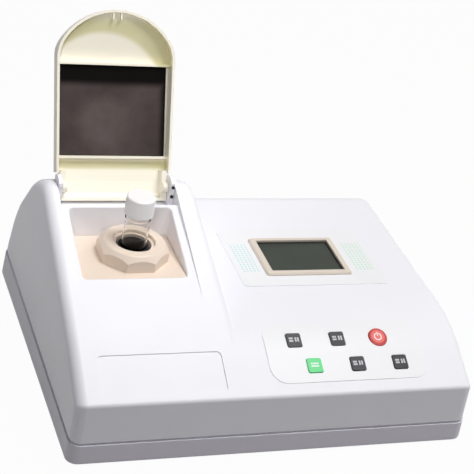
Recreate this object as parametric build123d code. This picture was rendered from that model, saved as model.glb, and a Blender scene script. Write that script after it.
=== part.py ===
from build123d import *
from math import atan, atan2, cos, degrees, hypot, pi, radians, sin, sqrt, tan
import os

# A bench analyser for chemical oxygen demand: a wedge-shaped housing with a raised
# sample hump on the left, a display console on the right, a long lid that stands
# open, and a capped vial in the measuring well. Millimetres, +Z up, the front is -Y.
# The origin is on the bench, under the middle of the housing. Heights in the
# sizes below are measured from the underside of the lower shell, and every piece
# is lifted by FOOT_PROUD when it is written.

# Housing
WIDTH = 350.0
DEPTH = 282.0
FOOT_PROUD = 2.0
WALL = 2.6
SIDE_LEAN = 0.03
EDGE_ROUND = 9.0
FRONT_LEAN = 2.2
NOSE_HEIGHT = 55.5
NOSE_ROUND = 3.5
FACET_SLOPE = 0.522

# Sample hump
HUMP_RIGHT_RIM = 16.0
HUMP_LEFT_RIM = 16.5
HUMP_RIGHT_LEAN = 0.125
HUMP_TOP = 144.5
HUMP_FACET_SHARE = 0.1844
HUMP_FACET_ROUND = 150.0
HUMP_RIDGE_SHARE = 0.6865
HUMP_BACK_SHARE = 0.7979
HUMP_BACK_ROUND_SHARE = 0.2482
HUMP_RIDGE_ROUND = 25.0

# Console
CONSOLE_HEIGHT = 88.65
CONSOLE_SLOPE = 0.025
CONSOLE_BEND = 130.0
CONSOLE_BACK_INSET = 20.0

# Joint between the two shells
SEAM_FRONT = 18.3
SEAM_BACK = 25.4
SEAM_GAP = 2.4
SEAM_DEPTH = 1.5
SEAM_LIP = 0.8
BASE_ROUND = 2.2
BASE_TRIM = 0.15
BOSS_RADIUS = 4.5
BOSS_BASE = 12.0
BOSS_INSET_X = 17.0
BOSS_INSET_Y = 21.0
SCREW_RADIUS = 1.75

# Lid and its seat
LID_WIDTH = 104.0
LID_NARROWING = 2.8
LID_REACH = 150.4
LID_TAIL = 12.0
LID_TIP_RISE = 42.0
LID_CORNER = 32.0
LID_HEIGHT = 13.5
LID_TIP_HEIGHT = 5.0
LID_WALL = 2.2
LID_EDGE_ROUND = 3.5
LID_LEAN = 25.0
SEAT_SINK = 0.057
SEAT_LENGTH = 113.0
SEAT_MARGIN = 1.2
SEAT_GAP = 0.4
AXIS_BEHIND_RIDGE = 3.407
AXIS_DROP = 2.0
TROUGH_FRONT = 20.5
TROUGH_BACK = 17.0
TROUGH_DEPTH = 15.0
HINGE_PIN_RADIUS = 2.0
HINGE_FIT = 0.05
EAR_RADIUS = 4.2
EAR_THICK = 4.5
PIN_GRIP = 2.6
LID_NOTCH = 3.3
NOTCH_REACH = 11.8
BRACKET_GAP = 0.5
BRACKET_WIDTH = 3.7
BRACKET_FRONT = 8.0
BRACKET_ROUND = 11.0
POCKET_LOW = 26.0
POCKET_HIGH = 103.5
LID_RIB = 2.2
LID_RIB_DEPTH = 5.2
PAD_THICK = 3.0
PAD_GAP = 0.3

# Well, floor plate and collar
WELL_SHIFT = 0.2
WELL_SIDE = 7.0
WELL_AHEAD = 90.5
WELL_LENGTH = 68.0
WELL_ROUND = 4.0
WELL_RIM_ROUND = 1.4
WELL_FLOOR = 103.0
PLATE_THICK = 3.0
PLATE_GAP = 0.3
VIAL_SHIFT = 6.3
VIAL_AHEAD = 53.5
COLLAR_FLATS = 57.5
COLLAR_HEIGHT = 14.5
COLLAR_BORE = 17.8
COLLAR_STEP = 3.2
COLLAR_THROAT = 15.2
COLLAR_SOFT = 1.0

# Vial, sleeve and optical block
VIAL_RADIUS = 11.0
VIAL_GLASS = 1.2
VIAL_BASE = 88.0
CAP_BASE = 144.0
CAP_HEIGHT = 16.2
CAP_RADIUS = 12.3
SLEEVE_RADIUS = 13.0
SLEEVE_FIT = 0.06
SLEEVE_BASE = 2.0
SLEEVE_TOP = 113.0
LID_CLEARANCE = 1.6
BLOCK_X = 60.0
BLOCK_Y = 56.0
BLOCK_BASE = 12.0
BEAM_RISE = 14.0
BEAM_RADIUS = 4.0
SPRING_WIRE = 0.8
SPRING_RADIUS = 9.0
SPRING_TURNS = 7

# Display
DISPLAY_SHIFT = -6.55
DISPLAY_Y = 15.7
GLASS_X = 69.5
GLASS_Y = 47.5
BEZEL_X = 81.5
BEZEL_Y = 57.5
BEZEL_RISE = 2.6
BEZEL_SKIRT = 4.0
SHEET = 0.5
PANEL_TO_LEFT = 66.7
PANEL_TO_RIGHT = 71.6
PANEL_FRONT = -28.0
PANEL_BACK = 60.5

# Keypad
KEY_SIZE = 13.2
KEY_PITCH = 39.4
KEY_FIRST_TO_LEFT = 44.1
KEY_STAGGER = 13.2
ROW_BACK_INSET = 46.8
ROW_FRONT_INSET = 25.3
KEY_RISE = 1.3
KEY_STEM = 7.0
KEY_GAP = 0.25
KEY_NUB = 0.5
KEY_TRAVEL = 0.5
POWER_RADIUS = 8.4
PAD_SHEET_TO_LEFT = 70.7
PAD_SHEET_TO_RIGHT = 73.3
PAD_SHEET_INSET = 12.0
PAD_SHEET_DEPTH = 52.5
PAD_SHEET_ROUND = 14.0

# Label recess
LABEL_IN_LEFT = 23.0
LABEL_IN_RIGHT = 9.7
LABEL_IN_FRONT = 8.0
LABEL_LENGTH = 32.3
LABEL_ROUND = 4.0
LABEL_DEPTH = 0.8

# Connector bay at the back of the console
BAY_IN_RIGHT = 25.0
BAY_WIDTH = 110.0
BAY_BOTTOM = 31.0
BAY_TOP = 64.0
BAY_DEPTH = 12.0

# Circuit boards
BOARD_THICK = 1.6
POST_MARGIN = 6.0
MAIN_BOARD_WIDE = 156.0
MAIN_BOARD_FRONT = -88.0
MAIN_BOARD_BACK = 26.0
POWER_BOARD_WIDE = 84.0
POWER_BOARD_DEEP = 62.0
KEY_BOARD_WIDE = 134.0
KEY_BOARD_DEEP = 52.0

FAR = 400.0
FRONT = -DEPTH / 2
BACK = DEPTH / 2
LEFT = -WIDTH / 2
RIGHT = WIDTH / 2

# Places that follow from the sizes above
LID_HINGE_WIDTH = LID_WIDTH - LID_NARROWING
LID_X = LEFT + HUMP_LEFT_RIM + LID_WIDTH / 2
HUMP_RIGHT_AT_TOP = LID_X + LID_WIDTH / 2 + HUMP_RIGHT_RIM
WELL_X = LID_X + WELL_SHIFT
WELL_WIDTH = LID_WIDTH - 2 * WELL_SIDE
VIAL_X = LID_X + VIAL_SHIFT
DISPLAY_X = (HUMP_RIGHT_AT_TOP + RIGHT) / 2 + DISPLAY_SHIFT
PANEL_LEFT = DISPLAY_X - PANEL_TO_LEFT
PANEL_RIGHT = DISPLAY_X + PANEL_TO_RIGHT
KEY_FIRST_X = DISPLAY_X - KEY_FIRST_TO_LEFT
ROW_BACK_Y = FRONT + ROW_BACK_INSET
ROW_FRONT_Y = FRONT + ROW_FRONT_INSET
PAD_SHEET_LEFT = DISPLAY_X - PAD_SHEET_TO_LEFT
PAD_SHEET_RIGHT = DISPLAY_X + PAD_SHEET_TO_RIGHT
PAD_SHEET_FRONT = FRONT + PAD_SHEET_INSET
PAD_SHEET_BACK = PAD_SHEET_FRONT + PAD_SHEET_DEPTH
LABEL_LEFT = LEFT + LABEL_IN_LEFT
LABEL_RIGHT = HUMP_RIGHT_AT_TOP - LABEL_IN_RIGHT
LABEL_FRONT = FRONT + LABEL_IN_FRONT
LABEL_BACK = LABEL_FRONT + LABEL_LENGTH
CONSOLE_BACK = BACK - CONSOLE_BACK_INSET
BAY_RIGHT = RIGHT - BAY_IN_RIGHT
BAY_LEFT = BAY_RIGHT - BAY_WIDTH
BAY_FACE = BACK - BAY_DEPTH


def box(x0, x1, y0, y1, z0, z1):
    """A plain block between two corners."""
    block = Box(x1 - x0, y1 - y0, z1 - z0)
    return Pos((x0 + x1) / 2, (y0 + y1) / 2, (z0 + z1) / 2) * block


def rounded_block(x0, x1, y0, y1, z0, z1, radius):
    """A block whose upright corners are rounded."""
    face = RectangleRounded(x1 - x0, y1 - y0, radius)
    return Pos((x0 + x1) / 2, (y0 + y1) / 2, z0) * extrude(face, z1 - z0)


def rod(x, y, z0, z1, radius):
    """An upright cylinder."""
    return Pos(x, y, (z0 + z1) / 2) * Cylinder(radius, z1 - z0)


def rod_x(x0, x1, y, z, radius):
    """A cylinder that lies along X."""
    return Pos((x0 + x1) / 2, y, z) * Rot(Y=90) * Cylinder(radius, x1 - x0)


def across(points, radii, x0, x1, inset=0.0):
    """A side outline of (y, z) points with rounded corners, carried from x0 to x1."""
    face = make_face(FilletPolyline(*points, radius=radii, close=True).edges())
    if inset:
        face = offset(face, amount=-inset, kind=Kind.INTERSECTION)
    return Pos(X=x0) * extrude(Plane.YZ * face, x1 - x0)


# Heights and slopes worked out from the sizes above
HUMP_FACET_Y = FRONT + HUMP_FACET_SHARE * DEPTH
HUMP_FACET_TOP = NOSE_HEIGHT + FACET_SLOPE * (HUMP_FACET_Y - FRONT - FRONT_LEAN)
HUMP_RIDGE_Y = FRONT + HUMP_RIDGE_SHARE * DEPTH
HUMP_SLOPE = (HUMP_TOP - HUMP_FACET_TOP) / (HUMP_RIDGE_Y - HUMP_FACET_Y)
HUMP_BACK_Y = FRONT + HUMP_BACK_SHARE * DEPTH
AXIS_Y = HUMP_RIDGE_Y + AXIS_BEHIND_RIDGE
SEAT_START = AXIS_Y - SEAT_LENGTH
SEAT_SLOPE = HUMP_SLOPE - SEAT_SINK
WELL_FRONT = AXIS_Y - WELL_AHEAD
VIAL_Y = AXIS_Y - VIAL_AHEAD
SEAT_START_Z = HUMP_FACET_TOP + HUMP_SLOPE * (SEAT_START - HUMP_FACET_Y)
AXIS_Z = SEAT_START_Z + SEAT_SLOPE * (AXIS_Y - SEAT_START) - AXIS_DROP
SEAT_LEFT = LID_X - LID_WIDTH / 2 - SEAT_MARGIN
SEAT_RIGHT = LID_X + LID_WIDTH / 2 + SEAT_MARGIN
LID_SPRING = LID_REACH - LID_TIP_RISE
LID_TAPER = degrees(atan2(LID_NARROWING / 2, LID_SPRING))
SEAM_SLOPE = (SEAM_BACK - SEAM_FRONT) / DEPTH
PLATE_BOTTOM = WELL_FLOOR - PLATE_THICK


def console_surface(y):
    """The height of the console's top before its bend and its edges are rounded."""
    return CONSOLE_HEIGHT + CONSOLE_SLOPE * y


def seat_surface(y):
    """The height of the lid's seat."""
    return SEAT_START_Z + SEAT_SLOPE * (y - SEAT_START)


def seam_height(y):
    """The height of the joint between the shells."""
    return SEAM_FRONT + SEAM_SLOPE * (y - FRONT)


def hump_outline():
    """The side outline of the sample hump and the radius of each corner."""
    nose = (FRONT + FRONT_LEAN, NOSE_HEIGHT)
    facet_end = (HUMP_FACET_Y, HUMP_FACET_TOP)
    ridge = (HUMP_RIDGE_Y, HUMP_TOP)
    back = [(HUMP_BACK_Y, HUMP_TOP - 13.5), (BACK - 16, 80), (BACK - 3.5, 34), (BACK, 0), (BACK, -30)]
    points = [(FRONT, -30), (FRONT, 0), nose, facet_end, ridge] + back
    rounds = [HUMP_FACET_ROUND, HUMP_RIDGE_ROUND, HUMP_BACK_ROUND_SHARE * DEPTH, 100, 100]
    return points, [0, 0, 0] + rounds + [0, 0]


def console_outline():
    """The side outline of the console and the radius of each corner."""
    nose_y = FRONT + FRONT_LEAN
    run = (console_surface(nose_y) - NOSE_HEIGHT) / (FACET_SLOPE - CONSOLE_SLOPE)
    bend = (nose_y + run, console_surface(nose_y + run))
    shoulder = (CONSOLE_BACK, console_surface(CONSOLE_BACK))
    back = [shoulder, (BACK - 8, 60), (BACK - 3.5, 34), (BACK, 0), (BACK, -30)]
    points = [(FRONT, -30), (FRONT, 0), (nose_y, NOSE_HEIGHT), bend] + back
    return points, [0, 0, 0, CONSOLE_BEND, 14, 60, 60, 0, 0]


def beyond_wall(x, lean, side):
    """Everything outside a leaning wall, given by its X at the underside; side is -1 or 1."""
    low, high = -40, 220
    out = x + side * 60
    corners = [(x + lean * low, low), (out, low), (out, high), (x + lean * high, high)]
    face = Plane.XZ * make_face(Polyline(*corners, close=True).edges())
    return extrude(face, 300, both=True)


def round_sides(solid, picked, inset):
    """Rounds the edges round the left face, the right face or both."""
    flat = solid.faces().sort_by(Axis.X)
    edges = []
    if "left" in picked:
        edges += flat[0].edges()
    if "right" in picked:
        edges += flat[-1].edges()
    return soften_nose(fillet(edges, EDGE_ROUND - inset), inset)


def soften_nose(solid, inset):
    """Rounds the crease where the front wall meets the slope above it."""
    crease = []
    for edge in solid.edges():
        middle = edge.center()
        away = hypot(middle.Y - FRONT - FRONT_LEAN, middle.Z - NOSE_HEIGHT)
        if edge.length > WIDTH / 4 and away < WALL + 1:
            crease.append(edge)
    return fillet(crease, NOSE_ROUND - inset)


def hump(inset=0.0):
    """The raised left part of the housing."""
    points, radii = hump_outline()
    right = HUMP_RIGHT_AT_TOP + HUMP_RIGHT_LEAN * HUMP_TOP
    slab = across(points, radii, LEFT - 5, right + 20, inset)
    slab -= beyond_wall(LEFT + inset, SIDE_LEAN, -1)
    slab -= beyond_wall(right - inset, -HUMP_RIGHT_LEAN, 1)
    return round_sides(slab, ["left", "right"], inset)


def console(inset=0.0):
    """The low right part of the housing, which runs on inside the hump."""
    points, radii = console_outline()
    slab = across(points, radii, -60, RIGHT + 5, inset)
    slab -= beyond_wall(RIGHT - inset, -SIDE_LEAN, 1)
    return round_sides(slab, ["right"], inset)


def body(inset=0.0):
    """The whole closed form of the housing, drawn in by the inset."""
    return (hump(inset) + console(inset)) & box(-FAR, FAR, -FAR, FAR, max(inset, 0), FAR)


def above_line(y0, z0, slope, x0, x1, thick=FAR):
    """A slab that stands on a line sloping along Y."""
    y1 = y0 + FAR
    z1 = z0 + slope * FAR
    face = make_face(Polyline((y0, z0), (y1, z1), (y1, z1 + thick), (y0, z0 + thick), close=True).edges())
    return Pos(X=x0) * extrude(Plane.YZ * face, x1 - x0)


def above_seam(lift=0.0):
    """Everything above the joint between the shells."""
    return above_line(-FAR / 2, seam_height(-FAR / 2) + lift, SEAM_SLOPE, -FAR / 2, FAR / 2)


BOSS_SPOTS = [
    (LEFT + BOSS_INSET_X, FRONT + BOSS_INSET_Y),
    (RIGHT - BOSS_INSET_X, FRONT + BOSS_INSET_Y),
    (LEFT + BOSS_INSET_X, BACK - BOSS_INSET_Y),
    (RIGHT - BOSS_INSET_X, BACK - BOSS_INSET_Y),
    (HUMP_RIGHT_AT_TOP + BOSS_INSET_X + 1.5, FRONT + BOSS_INSET_Y),
]
FOOT_SPOTS = [(x, y) for x in (LEFT + 30, RIGHT - 30) for y in (FRONT + 30, BACK - 30)]


def well_block(grow, z0, z1):
    """The upright block of the measuring well, grown all round."""
    x0, x1 = WELL_X - WELL_WIDTH / 2 - grow, WELL_X + WELL_WIDTH / 2 + grow
    y0, y1 = WELL_FRONT - grow, WELL_FRONT + WELL_LENGTH + grow
    return rounded_block(x0, x1, y0, y1, z0, z1, WELL_ROUND + grow)


def trough(grow):
    """The space under the hinge, grown all round."""
    floor = AXIS_Z - TROUGH_DEPTH
    y0, y1 = AXIS_Y - TROUGH_FRONT - grow, AXIS_Y + TROUGH_BACK + grow
    return box(SEAT_LEFT - grow, SEAT_RIGHT + grow, y0, y1, floor - grow, FAR)


def between_sides(solid):
    """Trims the seat's cutter to walls that draw together with the lid's sides."""
    spring = AXIS_Y - LID_SPRING * cos(atan(SEAT_SLOPE))
    for side in (-1, 1):
        wall = sorted((side * (LID_WIDTH / 2 + SEAT_MARGIN), side * FAR))
        solid -= Pos(LID_X, spring) * Rot(Z=side * LID_TAPER) * box(wall[0], wall[1], -FAR, FAR, -FAR, FAR)
    return solid


def lid_seat():
    """The recess the lid lies in, the trough under its hinge and the well, as one cutter."""
    seat = above_line(SEAT_START, SEAT_START_Z, SEAT_SLOPE, SEAT_LEFT, SEAT_RIGHT)
    seat &= box(-FAR, FAR, -FAR, AXIS_Y + TROUGH_BACK, -FAR, FAR)
    return between_sides(seat + trough(0)) + well_block(0, PLATE_BOTTOM - 6, FAR)


def seat_support():
    """The floors and walls that carry the lid's seat, before they are cut."""
    left, right = SEAT_LEFT - WALL, SEAT_RIGHT + WALL
    slab = above_line(SEAT_START - 6, seat_surface(SEAT_START - 6) - WALL, SEAT_SLOPE, left, right)
    slab &= box(-FAR, FAR, -FAR, AXIS_Y - TROUGH_FRONT + 1, -FAR, FAR)
    skirt = well_block(WALL, PLATE_BOTTOM - 2, HUMP_TOP)
    return slab + trough(WALL) + skirt


# The lid's own frame: X to the left, Y from the hinge to the tip, Z outwards through its top
SEAT_ANGLE = atan(SEAT_SLOPE)
LEAN = radians(LID_LEAN)
RIM_RISE = AXIS_DROP * cos(SEAT_ANGLE) + SEAT_GAP
OUTWARD = (0, cos(LEAN), -sin(LEAN))
LID_ORIGIN = (LID_X, AXIS_Y + RIM_RISE * cos(LEAN), AXIS_Z - RIM_RISE * sin(LEAN))
LID_FRAME = Plane(origin=LID_ORIGIN, x_dir=(-1, 0, 0), z_dir=OUTWARD).location
PAD_FACE = LID_HEIGHT - LID_WALL - PAD_THICK
PAD_HALF = LID_HINGE_WIDTH / 2 - LID_EDGE_ROUND
EAR_FACE = LID_HINGE_WIDTH / 2 - LID_NOTCH
CLOSING_ANGLE = 90 + LID_LEAN + degrees(SEAT_ANGLE)

# How far the sleeve sinks so that the cap clears the closed lid's pad
CAP_TOP = CAP_BASE + CAP_HEIGHT
PAD_OVER_CAP = seat_surface(VIAL_Y - CAP_RADIUS) + (SEAT_GAP + PAD_FACE) / cos(SEAT_ANGLE)
SLEEVE_DROP = round(CAP_TOP - PAD_OVER_CAP + LID_CLEARANCE, 1)
SLEEVE_BOTTOM = VIAL_BASE - SLEEVE_BASE
BEAM_HEIGHT = SLEEVE_BOTTOM - SLEEVE_DROP + BEAM_RISE
BORE_BOTTOM = BLOCK_BASE + 6


def console_height(y):
    """The height of the console's finished surface, bend and all."""
    points, _ = console_outline()
    bend_y, bend_z = points[3]
    steep, flat = atan(FACET_SLOPE), atan(CONSOLE_SLOPE)
    reach = CONSOLE_BEND * tan((steep - flat) / 2)
    start_y = bend_y - reach * cos(steep)
    end_y = bend_y + reach * cos(flat)
    if y < start_y:
        return bend_z + FACET_SLOPE * (y - bend_y)
    if y > end_y:
        return console_surface(y)
    centre_y = start_y + CONSOLE_BEND * sin(steep)
    centre_z = bend_z + FACET_SLOPE * (start_y - bend_y) - CONSOLE_BEND * cos(steep)
    return centre_z + sqrt(CONSOLE_BEND**2 - (y - centre_y) ** 2)


# The keys share one plane through both rows
ROW_BACK_Z = console_height(ROW_BACK_Y)
ROW_FRONT_Z = console_height(ROW_FRONT_Y)
KEY_TILT = atan2(ROW_BACK_Z - ROW_FRONT_Z, ROW_BACK_Y - ROW_FRONT_Y)
KEY_ROW = hypot(ROW_BACK_Z - ROW_FRONT_Z, ROW_BACK_Y - ROW_FRONT_Y) / 2
KEY_ORIGIN = (0, (ROW_BACK_Y + ROW_FRONT_Y) / 2, (ROW_BACK_Z + ROW_FRONT_Z) / 2)
KEY_FRAME = Plane(origin=KEY_ORIGIN, x_dir=(1, 0, 0), z_dir=(0, -sin(KEY_TILT), cos(KEY_TILT))).location
BACK_KEYS = [KEY_FIRST_X, KEY_FIRST_X + KEY_PITCH]
POWER_X = KEY_FIRST_X + 1.96 * KEY_PITCH
FRONT_KEYS = [KEY_FIRST_X + KEY_STAGGER + n * KEY_PITCH * 0.995 for n in range(3)]
SWITCH_TOP = -KEY_STEM - KEY_NUB - KEY_TRAVEL
KEY_BOARD = SWITCH_TOP - 4.3
KEY_BOARD_X = DISPLAY_X + 2.3
KEY_POST_X = KEY_BOARD_WIDE / 2 - 5
KEY_POST_Y = KEY_BOARD_DEEP / 2 - 4
KEY_POSTS = [(KEY_BOARD_X + x, y) for x in (-KEY_POST_X, KEY_POST_X) for y in (-KEY_POST_Y, KEY_POST_Y)]

# The display shares the console's slope
DISPLAY_TILT = atan(CONSOLE_SLOPE)
DISPLAY_ORIGIN = (DISPLAY_X, DISPLAY_Y, console_surface(DISPLAY_Y))
DISPLAY_UP = (0, -sin(DISPLAY_TILT), cos(DISPLAY_TILT))
DISPLAY_FRAME = Plane(origin=DISPLAY_ORIGIN, x_dir=(1, 0, 0), z_dir=DISPLAY_UP).location
SKIRT_X = BEZEL_X - 5.5
SKIRT_Y = BEZEL_Y - 3.5
DISPLAY_BOARD = -WALL - BEZEL_SKIRT
DISPLAY_POSTS = [(x, y) for x in (-45, 45) for y in (-30, 30)]


def plate(x_size, y_size, z0, z1, radius):
    """A flat plate with rounded corners, centred on the origin."""
    return rounded_block(-x_size / 2, x_size / 2, -y_size / 2, y_size / 2, z0, z1, radius)


def label_recess():
    """The shallow recess for a rating label, on the hump's front slope."""
    start = LABEL_FRONT - 20
    surface = NOSE_HEIGHT + FACET_SLOPE * (start - FRONT - FRONT_LEAN)
    floor = surface - LABEL_DEPTH * hypot(1, FACET_SLOPE)
    slab = above_line(start, floor, FACET_SLOPE, LABEL_LEFT, LABEL_RIGHT)
    return slab & rounded_block(LABEL_LEFT, LABEL_RIGHT, LABEL_FRONT, LABEL_BACK, 0, FAR, LABEL_ROUND)


def key_holes():
    """The openings the keys move in."""
    wide = KEY_SIZE + 2 * KEY_GAP
    holes = Pos(POWER_X, KEY_ROW) * Cylinder(POWER_RADIUS + KEY_GAP, 24)
    for x in BACK_KEYS:
        holes += Pos(x, KEY_ROW) * plate(wide, wide, -12, 12, 2)
    for x in FRONT_KEYS:
        holes += Pos(x, -KEY_ROW) * plate(wide, wide, -12, 12, 2)
    return KEY_FRAME * holes


def connector_bay(grow):
    """The space behind the sockets, grown inwards for its walls."""
    return box(BAY_LEFT - grow, BAY_RIGHT + grow, BAY_FACE - grow, FAR, BAY_BOTTOM - grow, BAY_TOP + grow)


def shell_posts():
    """The posts that hang inside the upper shell, before they are trimmed to it."""
    posts = [rod(x, y, BOSS_BASE, FAR, BOSS_RADIUS) for x, y in BOSS_SPOTS]
    posts += [KEY_FRAME * rod(x, y, KEY_BOARD, 0, 3) for x, y in KEY_POSTS]
    posts += [DISPLAY_FRAME * rod(x, y, DISPLAY_BOARD, 0, 3) for x, y in DISPLAY_POSTS]
    return posts


def soften_well(shell):
    """Rounds the rim of the well where it opens into the lid's seat."""
    x0, x1 = WELL_X - WELL_WIDTH / 2 - 1, WELL_X + WELL_WIDTH / 2 + 1
    y0, y1 = WELL_FRONT - 1, WELL_FRONT + WELL_LENGTH + 1
    rim = []
    for edge in shell.edges():
        middle = edge.center()
        if x0 < middle.X < x1 and y0 < middle.Y < y1 and abs(middle.Z - seat_surface(middle.Y)) < 0.2:
            rim.append(edge)
    return fillet(rim, WELL_RIM_ROUND)


def upper_shell(outside, inside, groove):
    """The top of the housing, with every opening and post that belongs to it."""
    shell = outside - inside + (seat_support() & outside)
    shell = soften_well(shell - lid_seat())
    shell += connector_bay(WALL) & outside
    for post in shell_posts():
        shell += (post & inside) - lid_seat()
    shell -= connector_bay(0)
    shell -= label_recess() + key_holes()
    shell -= DISPLAY_FRAME * plate(SKIRT_X, SKIRT_Y, -12, 12, 2)
    for x, y in BOSS_SPOTS:
        shell -= rod(x, y, 0, BOSS_BASE + 12, SCREW_RADIUS - 0.25)
    for x, y in KEY_POSTS:
        shell -= KEY_FRAME * rod(x, y, KEY_BOARD - 1, KEY_BOARD + 6, 1)
    for x, y in DISPLAY_POSTS:
        shell -= DISPLAY_FRAME * rod(x, y, DISPLAY_BOARD - 1, DISPLAY_BOARD + 5, 1)
    shell -= inlet_opening() + port_opening()
    rim = outside - groove - above_seam(SEAM_GAP)
    return (shell & above_seam()) - rim


# Sockets at the back
INLET_X = BAY_RIGHT - 30.0
PORT_X = INLET_X - 48.0
SOCKET_Z = 47.0


def inlet_opening():
    """The hole the power inlet passes through."""
    return box(INLET_X - 14, INLET_X + 14, BAY_FACE - 10, BAY_FACE + 1, SOCKET_Z - 10, SOCKET_Z + 10)


def port_opening():
    """The hole the data port passes through."""
    return box(PORT_X - 15.5, PORT_X + 15.5, BAY_FACE - 10, BAY_FACE + 1, SOCKET_Z - 6.5, SOCKET_Z + 6.5)


def power_inlet():
    """A three-pin inlet: a flanged shell with a socket and three flat pins."""
    flange = box(INLET_X - 17, INLET_X + 17, BAY_FACE, BAY_FACE + 2, SOCKET_Z - 12, SOCKET_Z + 12)
    tub = box(INLET_X - 13.8, INLET_X + 13.8, BAY_FACE - 22, BAY_FACE, SOCKET_Z - 9.8, SOCKET_Z + 9.8)
    socket = box(INLET_X - 12, INLET_X + 12, BAY_FACE - 18, BAY_FACE + 3, SOCKET_Z - 8, SOCKET_Z + 8)
    inlet = flange + tub - socket
    for x, z in ((-7, -2), (0, 3), (7, -2)):
        pin = box(x - 1, x + 1, BAY_FACE - 18.5, BAY_FACE - 3, z - 2, z + 2)
        inlet += Pos(INLET_X, 0, SOCKET_Z) * pin
    return inlet


def data_port():
    """A nine-way data port: a flange with a metal skirt and its insert."""
    flange = box(PORT_X - 15.4, PORT_X + 15.4, BAY_FACE, BAY_FACE + 1, SOCKET_Z - 6.3, SOCKET_Z + 6.3)
    flange += box(PORT_X - 17, PORT_X + 17, BAY_FACE, BAY_FACE + 1, SOCKET_Z - 8, SOCKET_Z + 8)
    back = box(PORT_X - 13, PORT_X + 13, BAY_FACE - 11, BAY_FACE, SOCKET_Z - 6, SOCKET_Z + 6)
    skirt = box(PORT_X - 9, PORT_X + 9, BAY_FACE + 1, BAY_FACE + 6, SOCKET_Z - 4.5, SOCKET_Z + 4.5)
    skirt -= box(PORT_X - 8.4, PORT_X + 8.4, BAY_FACE + 1, BAY_FACE + 7, SOCKET_Z - 3.9, SOCKET_Z + 3.9)
    skirt += box(PORT_X - 7.6, PORT_X + 7.6, BAY_FACE + 1, BAY_FACE + 4, SOCKET_Z - 3, SOCKET_Z + 3)
    return flange + back + skirt


def lower_form():
    """The tray's closed form, which stands a lip's width outside the upper shell."""
    grow = SEAM_LIP - BASE_TRIM
    sides = (LEFT - grow, RIGHT + grow, FRONT - grow, BACK + grow)
    cushion = rounded_block(*sides, 0, HUMP_TOP / 2, EDGE_ROUND + grow)
    return body(-SEAM_LIP) & fillet(cushion.edges().group_by(Axis.Z)[0], BASE_ROUND)


def lower_shell(inside):
    """The tray: floor, low walls, screw bosses, posts, vents and foot recesses."""
    tray = (lower_form() - inside) - above_seam()
    for x, y in BOSS_SPOTS:
        tray += rod(x, y, 0, BOSS_BASE, BOSS_RADIUS)
    for x in (-BLOCK_X / 2 + 6, BLOCK_X / 2 - 6):
        for y in (-BLOCK_Y / 2 + 6, BLOCK_Y / 2 - 6):
            tray += rod(VIAL_X + x, VIAL_Y + y, 0, BLOCK_BASE, 4)
    for x, y in MAIN_POSTS + POWER_POSTS:
        tray += rod(x, y, 0, BOARD_LEVEL, 3)
        tray -= rod(x, y, WALL, BOARD_LEVEL + 1, 1)
    for x, y in BOSS_SPOTS:
        tray -= rod(x, y, -1, BOSS_BASE + 1, SCREW_RADIUS)
        tray -= rod(x, y, -1, 5, 3.4)
    for x, y in FOOT_SPOTS:
        tray -= rod(x, y, -1, 1.2, 8)
    for n in range(9):
        tray -= rounded_block(-30 + 12 * n, -26 + 12 * n, -60, 10, -1, WALL + 1, 1.9)
    return tray


BOARD_LEVEL = 12.0
MAIN_X = DISPLAY_X - 11.7
POWER_X0 = DISPLAY_X - 47.7
POWER_Y0 = BACK - 99.0
MAIN_LEFT = MAIN_X - MAIN_BOARD_WIDE / 2
MAIN_RIGHT = MAIN_X + MAIN_BOARD_WIDE / 2


def board_posts(x0, x1, y0, y1):
    """The places of a board's four posts, a margin inside its corners."""
    rows = (y0 + POST_MARGIN, y1 - POST_MARGIN)
    return [(x, y) for x in (x0 + POST_MARGIN, x1 - POST_MARGIN) for y in rows]


MAIN_POSTS = board_posts(MAIN_LEFT, MAIN_RIGHT, MAIN_BOARD_FRONT, MAIN_BOARD_BACK)
POWER_POSTS = board_posts(POWER_X0, POWER_X0 + POWER_BOARD_WIDE, POWER_Y0, POWER_Y0 + POWER_BOARD_DEEP)


def base_screws():
    """The five screws that hold the shells together, seen from below."""
    screws = []
    for x, y in BOSS_SPOTS:
        head = rod(x, y, 2.6, 5, 2.9) - Pos(x, y, 2.6) * Box(4, 0.8, 2) - Pos(x, y, 2.6) * Box(0.8, 4, 2)
        screws.append(head + rod(x, y, 5, BOSS_BASE + 10, SCREW_RADIUS - 0.25))
    return Compound(children=screws)


def rubber_feet():
    """Four round feet, each set into its recess."""
    feet = []
    for x, y in FOOT_SPOTS:
        foot = rod(x, y, -FOOT_PROUD, 1.2, 7.7)
        edge = foot.edges().filter_by(GeomType.CIRCLE).sort_by(Axis.Z)[0]
        feet.append(chamfer(edge, 0.6))
    return Compound(children=feet)


def well_floor_plate():
    """The loose plate at the bottom of the well, with the hole for the vial."""
    plate_top = well_block(-PLATE_GAP, PLATE_BOTTOM, WELL_FLOOR)
    return plate_top - rod(VIAL_X, VIAL_Y, 0, FAR, COLLAR_THROAT + 0.2)


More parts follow.
